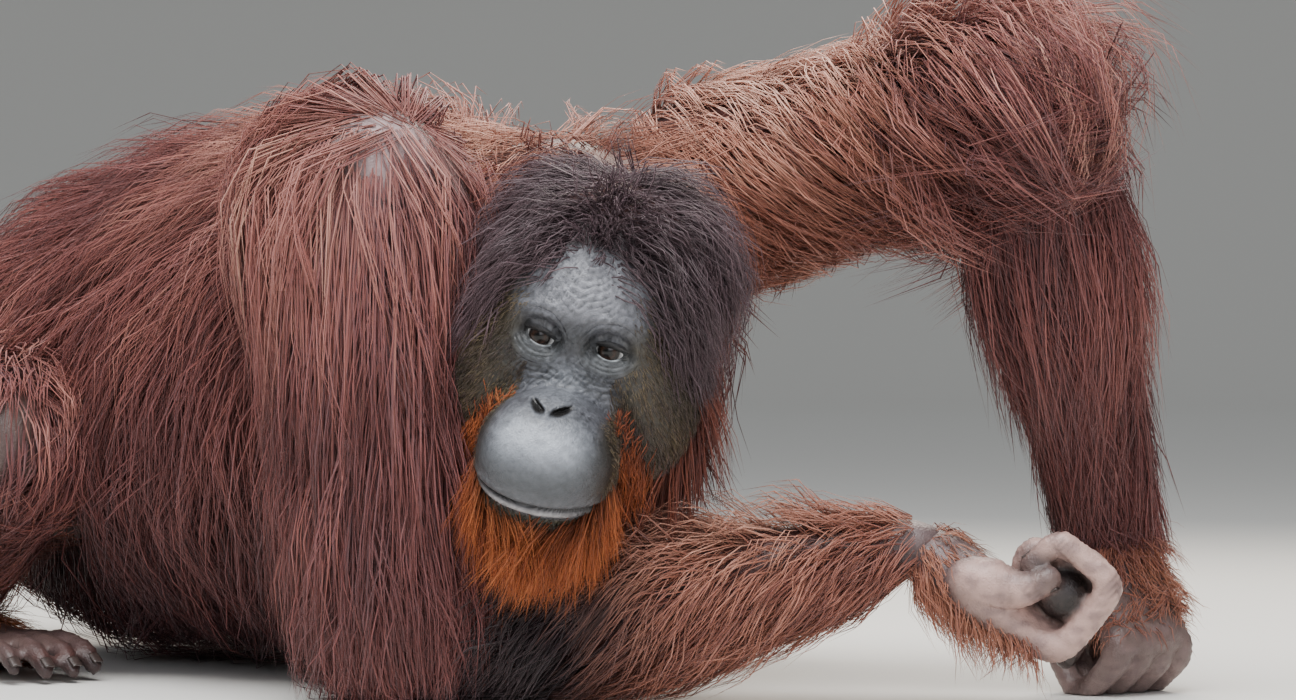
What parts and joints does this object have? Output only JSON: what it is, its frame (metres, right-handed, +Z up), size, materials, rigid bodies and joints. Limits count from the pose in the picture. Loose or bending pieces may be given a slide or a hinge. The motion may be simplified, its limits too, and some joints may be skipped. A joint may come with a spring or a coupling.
{
  "type": "orangutan",
  "caption": "Still life-size orangutan crouched low, one elbow on the floor and that forearm laid across in front, the other elbow raised high.",
  "frame": {"origin": "on the floor, under the middle of the animal's bounding box", "axes": "+Z up, +X towards the raised left elbow, -Y towards the viewer that the face looks at"},
  "size_m": [1.1148, 0.8964, 0.5556],
  "materials": {
    "coat": "long maroon-brown hair, tan-orange over the shoulders and forearm",
    "head_coat": "dark mauve-grey crown hair over dark grey facial skin",
    "beard": "vivid orange beard hair round a smooth blue-grey jaw",
    "bare_skin": "wrinkled grey to pinkish-grey bare skin",
    "eye": "wet dark brown eye"
  },
  "bodies": {
    "root": {"pelvis": "coat", "abdomen": "coat", "chest": "coat", "neck": "coat", "head": "head_coat", "lower_jaw": "beard", "eye_right": "eye", "eye_left": "eye", "ear_right": "bare_skin", "ear_left": "bare_skin", "upper_arm_right": "coat", "forearm_right": "coat", "thigh_right": "coat", "shank_right": "coat", "hand_right": "bare_skin", "foot_right": "bare_skin", "thumb_right": "bare_skin", "index_finger_right": "bare_skin", "middle_finger_right": "bare_skin", "ring_finger_right": "bare_skin", "little_finger_right": "bare_skin", "big_toe_right": "bare_skin", "second_toe_right": "bare_skin", "third_toe_right": "bare_skin", "fourth_toe_right": "bare_skin", "fifth_toe_right": "bare_skin", "upper_arm_left": "coat", "forearm_left": "coat", "thigh_left": "coat", "shank_left": "coat", "hand_left": "bare_skin", "foot_left": "bare_skin", "thumb_left": "bare_skin", "index_finger_left": "bare_skin", "middle_finger_left": "bare_skin", "ring_finger_left": "bare_skin", "little_finger_left": "bare_skin", "big_toe_left": "bare_skin", "second_toe_left": "bare_skin", "third_toe_left": "bare_skin", "fourth_toe_left": "bare_skin", "fifth_toe_left": "bare_skin"}
  },
  "joints": []
}
